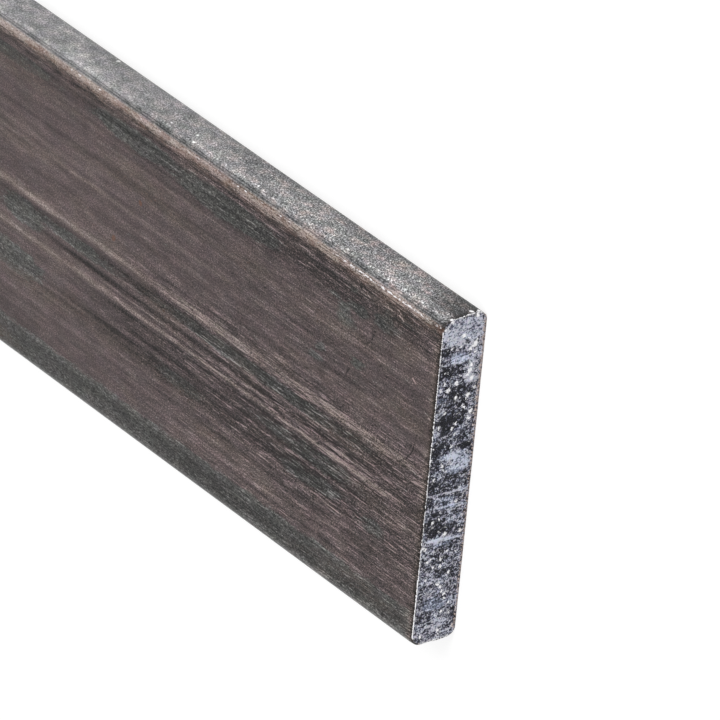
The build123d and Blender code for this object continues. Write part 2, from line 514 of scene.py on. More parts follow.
class SectionGrid:
    """Lays the lines of a plain box grid onto the rolled section, in millimetres."""

    def __init__(self, settings, lines_across, lines_up):
        self.lines_across, self.lines_up = lines_across, lines_up
        self.crown = settings.crown / MM
        self.radius = {
            UPPER_BACK: settings.upper_back / MM,
            UPPER_FRONT: settings.upper_front / MM,
            LOWER_FRONT: settings.lower_front / MM,
            LOWER_BACK: settings.lower_back / MM,
        }

    def point(self, j, k):
        """Place across and up of grid point j, k on the section, and which way is out."""
        side_y, share_y = side_of_line(j, self.lines_across)
        side_z, share_z = side_of_line(k, self.lines_up)
        over_y = (j - CORNER_STEPS) / (self.lines_across - 2 * CORNER_STEPS)
        over_z = (k - CORNER_STEPS) / (self.lines_up - 2 * CORNER_STEPS)
        over_y, over_z = (min(max(over, 0.0), 1.0) for over in (over_y, over_z))
        radius = self.radius
        front = between(radius[LOWER_FRONT], radius[UPPER_FRONT], over_z)
        back = between(radius[LOWER_BACK], radius[UPPER_BACK], over_z)
        under = between(radius[LOWER_FRONT], radius[LOWER_BACK], over_y)
        upper = between(radius[UPPER_FRONT], radius[UPPER_BACK], over_y)
        y = place_of_line(side_y, share_y, over_y, WIDTH, front, back) - HALF_WIDTH
        z = place_of_line(side_z, share_z, over_z, THICKNESS, under, upper)
        if share_y and share_z:
            corner = radius[side_y, side_z]
            pull = corner * max(share_y, share_z) / math.hypot(share_y, share_z)
            y = side_y * (HALF_WIDTH - corner + share_y * pull)
            z = MIDDLE + side_z * (MIDDLE - corner + share_z * pull)
        lean = (z / MIDDLE - 1) ** 2
        y *= 1 - self.crown / HALF_WIDTH * lean
        out = Vector((0.0, side_y * share_y, side_z * share_z))
        return y, z, out.normalized()


CORNER_MIDDLE_MM = 14.0  # way_round half way round a corner
RIDGE_MM, HIGHLIGHT_CREST_MM = 13.2, 13.14  # way_round at a back corner's rubbed ridge, and at its crest, where a highlight is painted as bare steel
PALE_STRIP_MM = 4.2  # height above which a narrow edge stays pale beside a cut
UNDERSIDE_SQUEEZE = 0.93  # share of the upper face whose marks the underside shows, mirrored
ROLL_DOWN_MM = (0.06, 0.9)  # fall of the skin beside a cropped end, and over what length
LOWER_ROLL_DOWN, LOWER_ARRIS = 0.1, 0.15  # shares of the upper half's that the lower half has
ARRIS_REACH_MM = ARRIS_RINGS_MM[-1]


def way_round(y, z):
    """How far round the section a place on the skin is, the same at all four corners.

    It is under 12.6 on a wide face, 14 half way round a corner and over 15.3 on a narrow edge.
    """
    return abs(y) - abs(z - MIDDLE) - MIDDLE


def skin_at(x, y, z, out, from_end, drag_mm):
    """Depth of the rolled skin under the full section, its tone, scale and bare steel, with a
    highlight painted as bare steel on a back corner's crest.
    """
    tone = scale = bare = 0.0
    round_mm = way_round(y, z)
    broad = lumps(x, y, z, (140, 6, 6), 5)
    fine = lumps(x, y, z, (40, 0.6, 0.6), 6)
    depth = drag_mm * (0.5 + 0.5 * broad + 0.5 * fine)
    if abs(out.z) > 0.3:
        across = y if out.z > 0 else -UNDERSIDE_SQUEEZE * y
        tone, scale = drag_tone(x, across), scale_left(x, across)
        depth -= 6 * drag_mm * tone
    if y > 0:
        # The guides rubbed a ridge along each back corner. A highlight is painted as bare steel on
        # its crest, stronger towards a cut, and the ridge is dull right beside a cut.
        ridge = swell(round_mm, RIDGE_MM, 0.7)
        scale *= 1 - ridge
        bare = 0.4 * swell(round_mm, HIGHLIGHT_CREST_MM, 0.28) * (1 + swell(from_end, 9, 13))
        tone -= 0.34 * smooth((2.6 - from_end) / 1.2) * swell(round_mm, 13.0, 1.2)
        depth += 3 * drag_mm * (1 - ridge) * swell(round_mm, CORNER_MIDDLE_MM, 1.0)
    if round_mm > CORNER_MIDDLE_MM:
        # A narrow edge is paler higher up, and dull beside a cut
        tone += 0.025 * (z - MIDDLE)
        if z < PALE_STRIP_MM:
            tone -= 0.28 * smooth((7 - from_end) / 5)
    fall, reach = ROLL_DOWN_MM
    rolled_over = smooth(1 - from_end / reach)
    depth += fall * rolled_over * (1.0 if z > MIDDLE else LOWER_ROLL_DOWN)
    tone -= 0.12 * rolled_over + 0.28 * smooth(1.2 - 2 * from_end)
    return max(depth, 0.0), tone, scale, bare


def burr_left(y, z):
    """How much bright burr is left at a place round a cropped end, from 0 to 1 or so."""
    if z < MIDDLE:
        return 0.64 + 0.1 * smooth((y - 5) / 3)
    return 0.84 + 0.4 * smooth((-9.5 - y) / 2.5)


def arris_width(place, seed):
    """Uneven width of the dressed arris along a cropped edge, as a share of its mean."""
    swing = lumps(place, 0, 0, (1.3, 1, 1), seed) + 0.8 * lumps(place, 0, 0, (0.4, 1, 1), seed)
    return max(1 + 0.6 * swing, 0.2)


def dressed_arris(y, z, end, near_end, arris_mm):
    """Place across and up of the skin at a dressed arris, and the bright burr there."""
    upper = z > MIDDLE
    corner = swell(way_round(y, z), CORNER_MIDDLE_MM, 1.4) if upper else 0.0
    rolled = 4.0 if y < 0 else 2.0  # how much wider the arris is half way round a corner
    cut = near_end**1.3 * arris_mm * between(1, rolled, corner)
    cut *= 1.0 if upper else LOWER_ARRIS
    wide_cut = cut * arris_width(y, 11 if upper else 12)
    edge_cut = cut * arris_width(z, 13 if y > 0 else 14)
    z = MIDDLE + (z - MIDDLE) * (1 - wide_cut / MIDDLE)
    y *= 1 - edge_cut / HALF_WIDTH
    return y, z, near_end * (1 - corner) * burr_left(y * end, z)


def worn_skin(x, y, z, out, end, settings):
    """Place of a point of the skin after rolling and cropping, and its wear."""
    from_end = HALF_LENGTH - abs(x)
    depth, tone, scale, bare = skin_at(x, y, z, out, from_end, settings.drag_depth / MM)
    y -= out.y * depth
    z -= out.z * depth
    near_end = max(1 - from_end / ARRIS_REACH_MM, 0.0)
    if near_end:
        y, z, burr = dressed_arris(y, z, end, near_end, settings.arris / MM)
        bare = max(bare, burr)
    return (x, y, z), (tone, scale, bare)


def torn_end(x, y, z, end, settings):
    """Place of a point of a cropped end after the steel tore, and its wear."""
    tone, smear = end_patches(y * end, z)
    ridges = lumps(0, y * end, z, (1, 0.5, 3.0), 7 + end)
    crumbs = lumps(0, y * end, z, (1, 0.45, 0.45), 9 + end)
    lift = 0.5 + 0.25 * ridges + 0.6 * tone + (1 - smear) * 0.45 * crumbs
    x -= end * settings.tear_depth / MM * (1.2 - min(max(lift, 0.0), 1.2))
    rim = min(HALF_WIDTH - abs(y), z, THICKNESS - z)
    rim_width = 0.34 if z > MIDDLE else 0.7
    return (x, y, z), (tone, smear, smooth(1 - rim / rim_width) * burr_left(y * end, z))


def gridded_box(counts):
    """A gridded box from 0 up, one unit a step. Its second material is for its two ends."""
    box = bmesh.new()
    bmesh.ops.create_cube(box, size=1.0, matrix=Matrix.Translation((0.5, 0.5, 0.5)))
    bmesh.ops.scale(box, vec=counts, verts=box.verts)
    for axis in range(3):
        edges = [e for e in box.edges if abs((e.verts[1].co - e.verts[0].co)[axis]) > 0.5]
        cuts = int(counts[axis]) - 1
        bmesh.ops.subdivide_edges(box, edges=edges, cuts=cuts, use_grid_fill=True)
    box.normal_update()
    for face in box.faces:
        face.smooth = True
        face.material_index = int(abs(face.normal.x) > 0.5)
    return box


def steel_stock(settings):
    """One closed mesh of the bar: a gridded box laid onto the rolled section, then worn.

    Its colour attribute "wear" holds tone, scale (on an end, smear) and bare steel, and a highlight
    painted on a back corner's crest is held as bare steel.
    """
    low_rings, high_rings = ring_marks(0.0), ring_marks(MARKED_REACH_MM)
    along = [mark - HALF_LENGTH for mark in low_rings]
    along += [HALF_LENGTH - mark for mark in reversed(high_rings[:-1])]
    across, up = (
        2 * CORNER_STEPS + round((side - CORNERS_MM) / GRID_MM) for side in (WIDTH, THICKNESS)
    )
    bar = gridded_box(Vector((len(along) - 1, across, up)))
    grid = SectionGrid(settings, across, up)
    points = {(j, k): grid.point(j, k) for j in range(across + 1) for k in range(up + 1)}
    wear_and_highlight = bar.verts.layers.float_color.new("wear_and_highlight")
    for vert in bar.verts:
        i, j, k = (round(c) for c in vert.co)
        y, z, out = points[j, k]
        end = 1 if along[i] > 0 else -1
        if j in (0, across) or k in (0, up):
            place, (tone, second, bare) = worn_skin(along[i], y, z, out, end, settings)
        else:
            place, (tone, second, bare) = torn_end(along[i], y, z, end, settings)
        vert.co = Vector(place) * MM
        vert[wear_and_highlight] = (0.5 + tone, second, bare, 1.0)
    return bar


# ---- materials ----

# The setting that holds a node's variant, which follows its kind and a dot, as in Math.ADD
VARIANT_SETTINGS = {
    "Math": "operation",
    "VectorMath": "operation",
    "MapRange": "interpolation_type",
    "Mix": "data_type",
}


def add_node(tree, kind, inputs=(), stops=(), **settings):
    """Adds a shader node and gives its first output.

    The inputs are values, or outputs that feed them, for the sockets in order or by name. The
    stops are the places and colours of a colour ramp.
    """
    kind, _, variant = kind.partition(".")
    if variant:
        settings[VARIANT_SETTINGS[kind]] = variant
    node = tree.nodes.new("ShaderNode" + kind)
    for name, value in settings.items():
        setattr(node, name, value)
    sockets = [socket for socket in node.inputs if socket.enabled]
    named = {socket.name: socket for socket in sockets}
    pairs = inputs.items() if isinstance(inputs, dict) else zip(sockets, inputs)
    for key, value in pairs:
        socket = named[key] if isinstance(key, str) else key
        if isinstance(value, bpy.types.NodeSocket):
            tree.links.new(value, socket)
        else:
            socket.default_value = value
    if stops:
        elements = node.color_ramp.elements
        while len(elements) < len(stops):
            elements.new(1.0)
        for element, (place, colour) in zip(elements, stops):
            element.position, element.color = place, colour
    return next((output for output in node.outputs if output.enabled), None)


def new_material(name):
    """A material of this name with no nodes yet, and a call that adds one to it."""
    material = bpy.data.materials.new(name)
    material.use_nodes = True
    material.node_tree.nodes.clear()
    return material, functools.partial(add_node, material.node_tree)


def combined(node, kind, first, *others):
    """Values put together, two at a time, by nodes of this kind."""
    for other in others:
        first = node(kind, [first, other])
    return first


def layered(node, tone, *layers):
    """A tone with patterns laid over it, each swinging evenly, by half its strength either way."""
    for pattern, strength in layers:
        tone = node("Math.MULTIPLY_ADD", [pattern, strength, tone])
    half = sum(strength for _, strength in layers) / 2
    return node("Math.SUBTRACT", [tone, half])


# How a finish's colour changes with its tone: place on the ramp, and share of middle brightness
TONE_STEPS = ((0.0, 0.1), (0.25, 0.49), (0.5, 1.0), (0.75, 2.0), (1.0, 4.2))


def tone_stops(colour, grey):
    """Stops of a colour ramp round a middle colour, greyer towards its light end."""
    stops = []
    mean = sum(colour[:3]) / 3
    for place, share in TONE_STEPS:
        away = grey * max(place - 0.5, 0.0) * 2
        mixed = [min(between(part, mean, away) * share, 1.0) for part in colour[:3]]
        stops.append((place, (*mixed, 1.0)))
    return stops


def drift(node, pattern, strength):
    """A noise's own colour as a push, up to half this strength either way on each axis."""
    push = node("VectorMath.SUBTRACT", [pattern.node.outputs["Color"], (0.5, 0.5, 0.5)])
    return node("VectorMath.SCALE", {"Vector": push, "Scale": strength})


def shaken(node, place, pattern, strength):
    """A place pushed about by a noise, so that what is laid there gets a ragged outline."""
    return node("VectorMath.ADD", [place, drift(node, pattern, strength)])


def tinged(node, colour, pattern, strength):
    """A colour whose red, green and blue each drift a little with a noise's own colour."""
    shares = node("VectorMath.ADD", [drift(node, pattern, strength), (1.0, 1.0, 1.0)])
    return node("VectorMath.MULTIPLY", [colour, shares])


def drawn_lines(node, place, lines):
    """Tone that short lines add: each is full along its middle and gone at its half width."""
    total = 0.0
    for start, stop, half_width, tone in lines:
        run = stop - start
        away = node("VectorMath.SUBTRACT", [place, start])
        share = node("VectorMath.DOT_PRODUCT", [away, run / run.length_squared])
        share = node("Math.MINIMUM", [share, 1.0])
        share = node("Math.MAXIMUM", [share, 0.0])
        nearest = node("VectorMath.SCALE", {"Vector": run, "Scale": share})
        gap = node("VectorMath.DISTANCE", [away, nearest])
        line = node("MapRange.SMOOTHSTEP", [gap, half_width, 0.3 * half_width, 0.0, tone])
        total = node("Math.ADD", [line, total])
    return total


def specks(node, place, spots):
    """1 on each round speck, falling to 0 at its radius."""
    most = 0.0
    for centre, radius in spots:
        gap = node("VectorMath.DISTANCE", [place, centre])
        inside = node("MapRange.SMOOTHSTEP", [gap, radius, 0.6 * radius, 0.0, 1.0])
        most = node("Math.MAXIMUM", [inside, most])
    return most


class SteelFinish:
    """What both finishes start from: the place on the bar in mm, its wear and its grain.

    Each pattern of the grain is a noise: the size of its lumps along, across and up, how many
    finer layers it has and how strong they are. Each is moved on from the one before it, by
    as many lumps as the shifts say, so that no two line up.
    """

    def __init__(self, name, patterns, shifts):
        self.material, self.node = new_material(name)
        node = self.node
        place = node("TexCoord").node.outputs["Object"]
        self.place_mm = node("VectorMath.SCALE", {"Vector": place, "Scale": 1 / MM})
        self.x, self.y, self.z = node("SeparateXYZ", [self.place_mm]).node.outputs
        # Tone of the wear, how far scale or smear covers the steel, and where it is bare, with the
        # painted highlight of a back corner's crest
        wear_and_highlight = node("SeparateColor", [node("Attribute", attribute_name="wear_and_highlight")])
        self.worn, self.covered, self.bared_and_highlit = wear_and_highlight.node.outputs
        self.grain = {}
        for pattern, (sizes_mm, detail, roughness) in patterns.items():
            laid = node("Mapping", {
                "Vector": self.place_mm, "Scale": [1 / size for size in sizes_mm],
                "Location": [shift * len(self.grain) for shift in shifts],
            })
            self.grain[pattern] = node("TexNoise", {
                "Vector": laid, "Scale": 1.0, "Detail": detail, "Roughness": roughness,
            })

    def burr_colour(self, ends, *tarnished):
        """Bright bare steel, brown along the underside and where else it is tarnished."""
        low = self.node("MapRange", [self.z, 0.8, 0.3, 0.0, 0.95])
        tarnished = combined(self.node, "Math.MAXIMUM", low, *tarnished)
        return self.node("Mix.RGBA", [tarnished, tuple(ends.burr), tuple(ends.burr_rust)])

    def shaded(self, colour, metallic, roughness, height, strength, depth_mm):
        """The material in this colour, with a bump of this height, strength and depth."""
        bump = self.node("Bump", {
            "Height": height, "Strength": strength, "Distance": depth_mm * MM,
        })
        shader = self.node("BsdfPrincipled", {
            "Base Color": colour, "Metallic": metallic, "Roughness": roughness, "Normal": bump,
        })
        self.node("OutputMaterial", [shader])
        return self.material


# The skin's real grain is about 0.05 mm. The finest here is 0.11 to 0.14 mm, so that it shows.
SKIN_GRAIN_MM = {
    "drag": ((7, 0.11, 0.11), 3, 0.65),
    "band": ((50, 0.8, 0.8), 3, 0.5),
    "dash": ((2.4, 0.13, 0.13), 2, 0.6),
    "grit": ((0.2, 0.14, 0.14), 1, 0.6),
    "mottle": ((2.6, 0.9, 0.9), 3, 0.55),
    "islands": ((2.2, 0.6, 0.6), 4, 0.7),
    "speckle": ((0.2, 0.17, 0.17), 2, 0.7),
    "cloud": ((2.0, 1.3, 1.3), 3, 0.55),
    "stain": ((14, 4, 4), 2, 0.5),
    "fleck": ((0.5, 0.2, 0.2), 2, 0.6),
    "wobble": ((1.2, 0.8, 0.8), 1, 0.5),
}
SKIN_SHIFTS = (7.3, 3.1, 1.7)
MARKED_HEIGHT_MM = THICKNESS - 0.04  # of the worn upper face, a little under the full section


class MillSkin(SteelFinish):
    """Hot-rolled mild steel under thin mill scale.

    It is dull and grey-brown, dragged into fine lines along the bar, with grey scale left in the
    hollows and tan skin on the back corners, along whose rounding a highlight and shade are
    painted. The narrow edges are only grainy, and their grey is partly painted light.
    """

    def __init__(self, settings, ends):
        super().__init__("hot_rolled_mill_scale", SKIN_GRAIN_MM, SKIN_SHIFTS)
        self.settings, self.ends = settings, ends
        node = self.node
        self.along_mm = node("Math.ABSOLUTE", [self.x])
        # How far round the section, as way_round gives it, and the same at the back alone
        above = node("Math.ABSOLUTE", [node("Math.SUBTRACT", [self.z, MIDDLE])])
        above = node("Math.ADD", [above, MIDDLE])
        across = node("Math.ABSOLUTE", [self.y])
        self.round_mm = node("Math.SUBTRACT", [across, above])
        self.back_mm = node("Math.SUBTRACT", [self.y, above])
        self.marked_mm = shaken(node, self.place_mm, self.grain["wobble"], 0.5)
        # The skin is scuffed where the shear's clamp held it
        self.scuffed = node("MapRange", [self.along_mm, 90.0, 130.0, 0.1, 1.0])
        self.stained = node("MapRange", [self.grain["stain"], 0.52, 0.7, 0.0, 0.6])
        self.beside_corner = node("MapRange", [self.y, 17.6, 18.6, 0.0, 1.0])

    def marked_tone(self):
        """Tone of the wear, of the scratches and of the lines along the back corners, which are
        painted highlight and painted shade.
        """
        node, grain = self.node, self.grain
        marks = drawn_lines(node, self.marked_mm, [
            (Vector((*start, MARKED_HEIGHT_MM)), Vector((*stop, MARKED_HEIGHT_MM)), *drawn)
            for _, start, stop, *drawn in SCRATCHES_MM
        ])
        tone = node("Math.ADD", [self.worn, marks])
        uneven_mm = node("Math.SUBTRACT", [grain["drag"], 0.5])
        back_mm = node("Math.MULTIPLY_ADD", [uneven_mm, 0.3, self.back_mm])
        ragged_mm = node("Math.SUBTRACT", [grain["fleck"], 0.5])
        # Painted highlight and painted shade along the rounding of each back corner
        for _, middle_mm, half_width_mm, ragged, strength in CORNER_HIGHLIGHT_AND_SHADE_MM:
            away = node("Math.MULTIPLY_ADD", [ragged_mm, ragged, back_mm])
            away = node("Math.ABSOLUTE", [node("Math.SUBTRACT", [away, middle_mm])])
            line = node("MapRange.SMOOTHSTEP", [away, 0.0, half_width_mm, strength, 0.0])
            tone = node("Math.ADD", [tone, line])
        return tone

    def face_tone(self, marks):
        """Tone of a wide face: its grooves, grit, bands and scars over these marks."""
        node, grain = self.node, self.grain
        # The grooves are strongest in front of the middle and weakest behind it
        grooved = node("MapRange", [self.y, 1.0, 4.0, 3.0, 1.0])
        by_corner = node("MapRange", [self.y, 14.0, 15.5, 0.0, 1.2])
        by_front = node("MapRange", [self.y, -9.0, -12.0, 0.0, -1.3])
        grooved = combined(node, "Math.ADD", grooved, by_corner, by_front)
        grooved = node("Math.MULTIPLY", [grooved, self.scuffed])
        lines = layered(node, -0.01, (grain["drag"], 0.6), (grain["dash"], 0.6))
        dark_line = node("MapRange", [grain["drag"], 0.57, 0.64, 0.0, -0.2])
        pale_line = node("MapRange", [grain["dash"], 0.6, 0.68, 0.0, 0.18])
        pit = node("MapRange", [grain["fleck"], 0.6, 0.67, 0.0, -0.3])
        lines = combined(node, "Math.ADD", lines, dark_line, pale_line, pit)
        tone = node("Math.MULTIPLY_ADD", [lines, grooved, marks])
        gritty = node("MapRange", [grooved, 0.1, 3.0, 1.0, 2.4])
        grit = layered(node, 0.0, (grain["grit"], 1.0))
        tone = node("Math.MULTIPLY_ADD", [grit, gritty, tone])
        tone = layered(node, tone, (grain["band"], 0.55), (grain["mottle"], 0.45))
        # The hollow beside the back corner is scarred, where guides rubbed against the bar
        scarred = node("MapRange", [self.y, 16.9, 17.9, 0.0, 1.0])
        clean = node("MapRange", [self.y, 18.3, 18.8, 1.0, 0.0])
        scarred = node("Math.MULTIPLY", [scarred, clean])
        scars = layered(node, 0.0, (grain["islands"], 1.3), (grain["dash"], 1.0))
        return node("Math.MULTIPLY_ADD", [scars, scarred, tone])

    def edge_tone(self, marks):
        """Tone of a narrow edge: its speckle, clouds and pale specks over these marks."""
        node, grain = self.node, self.grain
        speckle = layered(node, 0.0, (grain["speckle"], 2.9), (grain["drag"], 0.3))
        speckled = node("MapRange", [self.scuffed, 0.1, 1.0, 0.5, 1.05])
        flat_of_edge = node("MapRange", [self.round_mm, 13.9, 15.0, 0.55, 1.0])
        speckled = node("Math.MULTIPLY", [speckled, flat_of_edge])
        tone = node("Math.MULTIPLY_ADD", [speckle, speckled, marks])
        evened = node("MapRange", [self.scuffed, 0.1, 1.0, 0.03, -0.04])
        tone = node("Math.ADD", [tone, evened])
        tone = layered(node, tone, (grain["cloud"], 0.7), (grain["stain"], 0.4))
        pale = specks(node, self.marked_mm, [
            ((along, HALF_WIDTH, up), radius) for along, up, radius in EDGE_SPECKS_MM
        ])
        return node("Math.MULTIPLY_ADD", [pale, 0.35, tone])

    def scale_share(self):
        """How much thin grey scale covers the skin, from 0 to 0.9."""
        node, grain = self.node, self.grain
        ragged = ((grain["islands"], 1.5), (grain["dash"], 0.8), (grain["grit"], 0.6))
        left = layered(node, self.covered, *ragged)
        return node("MapRange.SMOOTHSTEP", [left, 0.35, 0.65, 0.0, 0.9])

    def tan_share(self):
        """Where the skin is tan: by the back corner, by a cut, where it is rubbed or stained."""
        node = self.node
        start_mm, stop_mm = HALF_LENGTH - 1.4, HALF_LENGTH - 0.3
        beside_cut = node("MapRange", [self.along_mm, start_mm, stop_mm, 0.0, 0.9])
        rubbed = node("MapRange", [self.worn, 0.54, 0.7, 0.0, 0.8])
        places = (self.beside_corner, beside_cut, rubbed, self.stained)
        return combined(node, "Math.MAXIMUM", *places)

    def rust_share(self):
        """Where the skin is rusty: specks, flecks in stains and a mottle by the back corner."""
        node, grain = self.node, self.grain
        rusty = specks(node, self.marked_mm, [
            ((along, across, MARKED_HEIGHT_MM), radius) for along, across, radius in RUST_SPECKS_MM
        ])
        flecked = node("MapRange", [grain["fleck"], 0.6, 0.72, 0.0, 1.0])
        flecked = node("Math.MULTIPLY", [flecked, self.stained])
        mottled = node("MapRange", [grain["islands"], 0.46, 0.62, 0.0, 0.7])
        unfringed = node("MapRange", [self.y, 19.1, 19.4, 1.0, 0.0])
        mottled = combined(node, "Math.MULTIPLY", mottled, self.beside_corner, unfringed)
        rusty = combined(node, "Math.MAXIMUM", flecked, rusty, mottled)
        return node("Math.MULTIPLY", [rusty, 0.7])

    def bare_and_highlight_share(self):
        """Where bare steel shows: the arrises and the folded burr, and the crest of the back
        corner, where a highlight is painted as bare steel.
        """
        node = self.node
        bared_and_highlit = layered(node, self.bared_and_highlit, (self.grain["fleck"], 1.8))
        bared_and_highlit = node("MapRange.SMOOTHSTEP", [bared_and_highlit, 0.45, 0.7, 0.0, 0.9])
        folded = specks(node, self.marked_mm, [
            ((HALF_LENGTH - away, HALF_WIDTH, up), radius) for away, up, radius in FOLDED_BURR_MM
        ])
        return node("Math.MAXIMUM", [bared_and_highlit, folded])

    def face_colour(self, tone, scaled):
        """Colour of a wide face: oxide under scale, tan skin and rust."""
        node, fleck, settings = self.node, self.grain["fleck"], self.settings
        oxide = node("ValToRGB", [tone], tone_stops(settings.oxide, 0.0))
        tan_tone = layered(node, tone, (fleck, 0.8))
        tan = node("ValToRGB", [tan_tone], tone_stops(settings.tan, 0.35))
        scale_tone = layered(node, tone, (fleck, -1.4))
        scale = node("ValToRGB", [scale_tone], tone_stops(settings.scale, 0.3))
        face = node("Mix.RGBA", [scaled, oxide, scale])
        face = node("Mix.RGBA", [self.tan_share(), face, tan])
        return node("Mix.RGBA", [self.rust_share(), face, tuple(settings.rust)])

    def edge_colour(self, tone):
        """Colour of a narrow edge: grey, painted partly lighter for the light that falls on the
        back edge, mottled with pinkish brown where it is scuffed.
        """
        # This grey is partly painted light, lighter than the oxide for the lamp on the back edge
        node, settings = self.node, self.settings
        grey = node("ValToRGB", [tone], tone_stops(settings.edge, 0.2))
        rust = node("ValToRGB", [tone], tone_stops(settings.edge_rust, 0.1))
        pink = node("MapRange", [self.grain["cloud"], 0.48, 0.66, 0.0, 1.0])
        pink = node("Math.MULTIPLY", [pink, self.scuffed])
        return node("Mix.RGBA", [pink, grey, rust])

    def made(self):
        """The whole material."""
        node = self.node
        marks = self.marked_tone()
        face_tone = self.face_tone(marks)
        scaled, bared_and_highlit = self.scale_share(), self.bare_and_highlight_share()
        face = self.face_colour(face_tone, scaled)
        edge = self.edge_colour(self.edge_tone(marks))
        on_edge = node("MapRange.SMOOTHSTEP", [self.round_mm, 13.3, 13.85, 0.0, 1.0])
        skin = node("Mix.RGBA", [on_edge, face, edge])
        skin = tinged(node, skin, self.grain["cloud"], 0.17)
        front = node("MapRange", [self.y, -19.0, -19.6, 0.0, 0.8])
        # Bare steel and the painted crest highlight both take the burr's colour
        colour = node("Mix.RGBA", [bared_and_highlit, skin, self.burr_colour(self.ends, front)])
        metallic = node("MapRange", [bared_and_highlit, 0.0, 1.0, 0.7, 0.9])
        roughness = node("MapRange", [scaled, 0.0, 1.0, 0.52, 0.42])
        height = layered(node, face_tone, (self.grain["speckle"], 0.6))
        return self.shaded(colour, metallic, roughness, height, strength=0.6, depth_mm=0.03)


# Torn grains are 0.05 to 0.3 mm. The finest here is 0.14 to 0.19 mm, so that it shows.
TORN_GRAIN_MM = {
    "grit": ((0.3, 0.19, 0.19), 1, 0.6),
    "crumb": ((0.6, 0.4, 0.4), 3, 0.6),
    "drawn": ((0.5, 0.14, 2.0), 3, 0.6),
    "patch": ((1.5, 1.1, 1.6), 2, 0.5),
    "fleck": ((0.35, 0.26, 0.26), 2, 0.6),
    "wobble": ((0.35, 0.28, 0.28), 3, 0.75),
}
TORN_SHIFTS = (5.9, 2.7, 4.1)
TORN_METALLIC = 0.85
FACETS_IN_A_MM = (3.2, 4.2, 3.6)  # along, across and up
FLAT_OF_END = (0.0, 1.0, 1.0)  # takes a place to the flat of the end, whatever the tears' depth


class TornSteel(SteelFinish):
    """Cropped mild steel.

    The blade smeared patches of it flat and lavender-grey. The rest tore into dark blue-grey
    grains, with white glints painted on some facets, and left a bright burr round the edge.
    """

    def __init__(self, ends):
        super().__init__("cropped_mild_steel", TORN_GRAIN_MM, TORN_SHIFTS)
        self.ends = ends
        self.rough = self.node("MapRange", [self.covered, 0.0, 1.0, 1.0, 0.42])
        self.shaken_mm = shaken(self.node, self.place_mm, self.grain["wobble"], 1.0)

    def facets(self):
        """Where a white glint is painted on a torn facet, and a tint that each facet has of its
        own.
        """
        node = self.node
        cells = node("Mapping", {"Vector": self.shaken_mm, "Scale": FACETS_IN_A_MM})
        facet = node("TexVoronoi", {"Vector": cells, "Scale": 1.0})
        tints = node("SeparateColor", [facet.node.outputs["Color"]]).node.outputs
        glint = node("MapRange", [tints["Red"], 0.84, 0.95, 0.0, 1.0])
        inside = node("MapRange.SMOOTHSTEP", [facet, 0.5, 0.3, 0.0, 1.0])
        return combined(node, "Math.MULTIPLY", glint, inside, self.rough), tints["Green"]

    def torn_tone(self, flash, tint):
        """Tone of the torn grains, of what the blade drew over them, and of the painted glints."""
        node, grain = self.node, self.grain
        steadied_mm = shaken(node, self.place_mm, grain["wobble"], 0.35)
        steadied_mm = node("VectorMath.MULTIPLY", [steadied_mm, FLAT_OF_END])
        lines = drawn_lines(node, steadied_mm, [
            (Vector((0.0, *start)), Vector((0.0, *stop)), *drawn)
            for _, start, stop, *drawn in END_LINES_MM
        ])
        torn = layered(node, -0.07, (grain["grit"], 4.3), (grain["crumb"], 3.0), (tint, 0.7))
        burnished = node("MapRange", [lines, 0.1, 0.4, 1.0, 0.3])
        torn = combined(node, "Math.MULTIPLY", torn, self.rough, burnished)
        drawn = layered(node, 0.0, (grain["drawn"], 1.7), (grain["patch"], 1.9))
        tone = node("Math.MULTIPLY_ADD", [self.worn, 1.2, -0.1])
        tone = combined(node, "Math.ADD", tone, torn, drawn, lines)
        return node("Math.MULTIPLY_ADD", [flash, 1.2, tone])

    def steel_colour(self, tone):
        """Colour of the cut: grey where it tore, and bluish where it is smeared."""
        node, grain, ends = self.node, self.grain, self.ends
        torn = node("ValToRGB", [tone], tone_stops(ends.torn, 0.7))
        smeared = node("ValToRGB", [tone], tone_stops(ends.smeared, 0.45))
        bluish = node("MapRange", [self.covered, 0.45, 0.9, 0.0, 1.0])
        tinted = node("MapRange", [grain["patch"], 0.5, 0.65, 0.0, 0.5])
        bluish = node("Math.MAXIMUM", [bluish, tinted])
        steel = node("Mix.RGBA", [bluish, torn, smeared])
        return tinged(node, steel, grain["crumb"], 0.3)

    def bare_and_highlight_share(self, flash):
        """Where bright steel shows: the bare rim, the chips, which are partly painted glints, and
        the glints painted on facets.
        """
        node = self.node
        bared_and_highlit = layered(node, self.bared_and_highlit, (self.grain["fleck"], 2.0))
        bared_and_highlit = node("MapRange.SMOOTHSTEP", [bared_and_highlit, 0.4, 0.75, 0.0, 0.95])
        flattened_mm = node("VectorMath.MULTIPLY", [self.shaken_mm, FLAT_OF_END])
        chips = specks(node, flattened_mm, [
            ((0.0, across, up), radius) for across, up, radius in END_CHIPS_AND_GLINTS_MM
        ])
        # Painted glints of the facets, laid on in the colour of bright steel
        glinting = node("Math.MULTIPLY", [flash, 0.7])
        return combined(node, "Math.MAXIMUM", bared_and_highlit, chips, glinting)

    def made(self):
        """The whole material."""
        node = self.node
        flash, tint = self.facets()
        tone = self.torn_tone(flash, tint)
        steel, bared_and_highlit = self.steel_colour(tone), self.bare_and_highlight_share(flash)
        colour = node("Mix.RGBA", [bared_and_highlit, steel, self.burr_colour(self.ends)])
        roughness = node("MapRange", [self.covered, 0.0, 1.0, 0.42, 0.34])
        return self.shaded(colour, TORN_METALLIC, roughness, tone, strength=0.7, depth_mm=0.06)


# ---- operators ----


